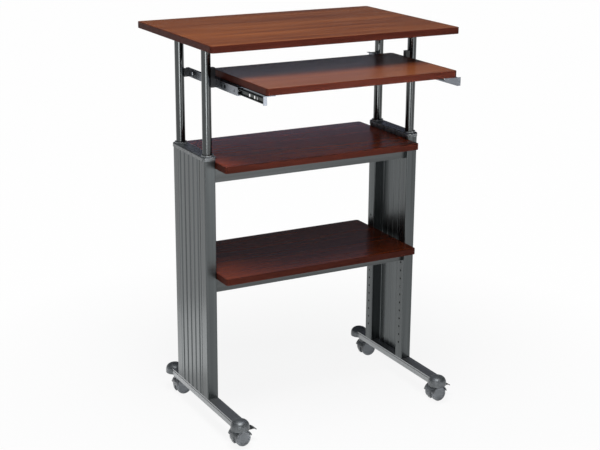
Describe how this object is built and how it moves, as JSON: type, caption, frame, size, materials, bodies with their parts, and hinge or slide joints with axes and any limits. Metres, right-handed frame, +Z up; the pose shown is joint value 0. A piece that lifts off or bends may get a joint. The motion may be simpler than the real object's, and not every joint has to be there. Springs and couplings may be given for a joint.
{
  "type": "standing desk",
  "caption": "Standing desk on casters: wood-look top and pull-out keyboard tray on telescoping posts, fluted metal legs joined by shelves, bar feet.",
  "frame": {"origin": "on the floor at the middle of the casters, close under the middle of the outline", "axes": "+Z up, -Y towards the user, +X to the user's right"},
  "size_m": [0.7531, 0.6205, 1.093],
  "materials": {
    "board": "semi-gloss",
    "edge_band": "satin",
    "post": "satin",
    "post_plate": "satin",
    "screw": "bright",
    "button": "bright",
    "inner_plastic": "matte",
    "leg": "satin metallic",
    "leg_cap": "satin",
    "rail": "satin metallic",
    "slide": "dark zinc",
    "foot": "satin metallic",
    "foot_cap": "satin",
    "caster_hood": "satin",
    "caster_wheel": "satin",
    "brake_lever": "satin"
  },
  "bodies": {
    "base": {"front_left_column": "leg", "front_right_column": "leg", "rear_left_column": "leg", "rear_right_column": "leg", "left_side_panel": "leg", "right_side_panel": "leg", "left_leg_cap": "leg_cap", "right_leg_cap": "leg_cap", "post_bushes": "inner_plastic", "column_base_plugs": "inner_plastic", "leg_bolts": "screw", "middle_shelf": "board", "lower_shelf": "board", "shelf_bands": "edge_band", "middle_front_rail": "rail", "middle_rear_rail": "rail", "lower_front_rail": "rail", "lower_rear_rail": "rail", "shelf_screws": "screw", "left_foot": "foot", "right_foot": "foot", "foot_end_caps": "foot_cap", "caster_stems": "screw"},
    "top": {"desk_top": "board", "desk_top_band": "edge_band", "left_post_plate": "post_plate", "right_post_plate": "post_plate", "plate_screws": "screw", "front_left_post": "post", "front_right_post": "post", "rear_left_post": "post", "rear_right_post": "post", "post_plugs": "inner_plastic", "left_slide_channel": "slide", "right_slide_channel": "slide", "slide_blocks": "inner_plastic", "slide_screws": "screw"},
    "tray": {"keyboard_tray": "board", "keyboard_tray_band": "edge_band", "left_tray_angle": "slide", "right_tray_angle": "slide", "left_slide_runner": "slide", "right_slide_runner": "slide", "tray_screws": "screw"},
    "cages": {"ball_cages": "screw"},
    "front_left_button": {"front_left_lock_button": "button"},
    "front_left_caster": {"front_left_caster_hood": "caster_hood"},
    "front_left_wheels": {"front_left_caster_wheels": "caster_wheel"},
    "front_left_lever": {"front_left_brake_lever": "brake_lever"},
    "front_right_button": {"front_right_lock_button": "button"},
    "front_right_caster": {"front_right_caster_hood": "caster_hood"},
    "front_right_wheels": {"front_right_caster_wheels": "caster_wheel"},
    "front_right_lever": {"front_right_brake_lever": "brake_lever"},
    "rear_left_button": {"rear_left_lock_button": "button"},
    "rear_left_caster": {"rear_left_caster_hood": "caster_hood"},
    "rear_left_wheels": {"rear_left_caster_wheels": "caster_wheel"},
    "rear_right_button": {"rear_right_lock_button": "button"},
    "rear_right_caster": {"rear_right_caster_hood": "caster_hood"},
    "rear_right_wheels": {"rear_right_caster_wheels": "caster_wheel"}
  },
  "joints": [
    {"name": "height_slide", "type": "slide", "parent": "base", "child": "top", "axis": [0, 0, 1], "range_m": [-0.1778, 0.1778]},
    {"name": "tray_slide", "type": "slide", "parent": "top", "child": "tray", "axis": [0, -1, 0], "range_m": [-0.14, 0.07]},
    {"name": "cage_slide", "type": "slide", "parent": "top", "child": "cages", "axis": [0, -1, 0], "range_m": [-0.07, 0.035]},
    {"name": "front_left_button_slide", "type": "slide", "parent": "top", "child": "front_left_button", "axis": [1, 0, 0], "range_m": [0, 0.0045]},
    {"name": "front_left_swivel", "type": "hinge", "parent": "base", "child": "front_left_caster", "pos_m": [-0.32, -0.198, 0.05], "axis": [0, 0, 1], "continuous": true},
    {"name": "front_left_roll", "type": "hinge", "parent": "front_left_caster", "child": "front_left_wheels", "pos_m": [-0.30803, -0.19716, 0.022], "axis": [-0.0698, 0.9976, 0], "continuous": true},
    {"name": "front_left_brake", "type": "hinge", "parent": "front_left_caster", "child": "front_left_lever", "pos_m": [-0.28309, -0.19542, 0.041], "axis": [-0.0698, 0.9976, 0], "range_deg": [0, 15]},
    {"name": "front_right_button_slide", "type": "slide", "parent": "top", "child": "front_right_button", "axis": [-1, 0, 0], "range_m": [0, 0.0045]},
    {"name": "front_right_swivel", "type": "hinge", "parent": "base", "child": "front_right_caster", "pos_m": [0.32, -0.198, 0.05], "axis": [0, 0, 1], "continuous": true},
    {"name": "front_right_roll", "type": "hinge", "parent": "front_right_caster", "child": "front_right_wheels", "pos_m": [0.33197, -0.19716, 0.022], "axis": [-0.0698, 0.9976, 0], "continuous": true},
    {"name": "front_right_brake", "type": "hinge", "parent": "front_right_caster", "child": "front_right_lever", "pos_m": [0.35691, -0.19542, 0.041], "axis": [-0.0698, 0.9976, 0], "range_deg": [0, 15]},
    {"name": "rear_left_button_slide", "type": "slide", "parent": "top", "child": "rear_left_button", "axis": [1, 0, 0], "range_m": [0, 0.0045]},
    {"name": "rear_left_swivel", "type": "hinge", "parent": "base", "child": "rear_left_caster", "pos_m": [-0.32, 0.198, 0.05], "axis": [0, 0, 1], "continuous": true},
    {"name": "rear_left_roll", "type": "hinge", "parent": "rear_left_caster", "child": "rear_left_wheels", "pos_m": [-0.30803, 0.19716, 0.022], "axis": [0.0698, 0.9976, 0], "continuous": true},
    {"name": "rear_right_button_slide", "type": "slide", "parent": "top", "child": "rear_right_button", "axis": [-1, 0, 0], "range_m": [0, 0.0045]},
    {"name": "rear_right_swivel", "type": "hinge", "parent": "base", "child": "rear_right_caster", "pos_m": [0.32, 0.198, 0.05], "axis": [0, 0, 1], "continuous": true},
    {"name": "rear_right_roll", "type": "hinge", "parent": "rear_right_caster", "child": "rear_right_wheels", "pos_m": [0.33197, 0.19716, 0.022], "axis": [0.0698, 0.9976, 0], "continuous": true}
  ],
  "couplings": [
    {"joint": "cage_slide", "follows": "tray_slide", "ratio": 0.5}
  ]
}
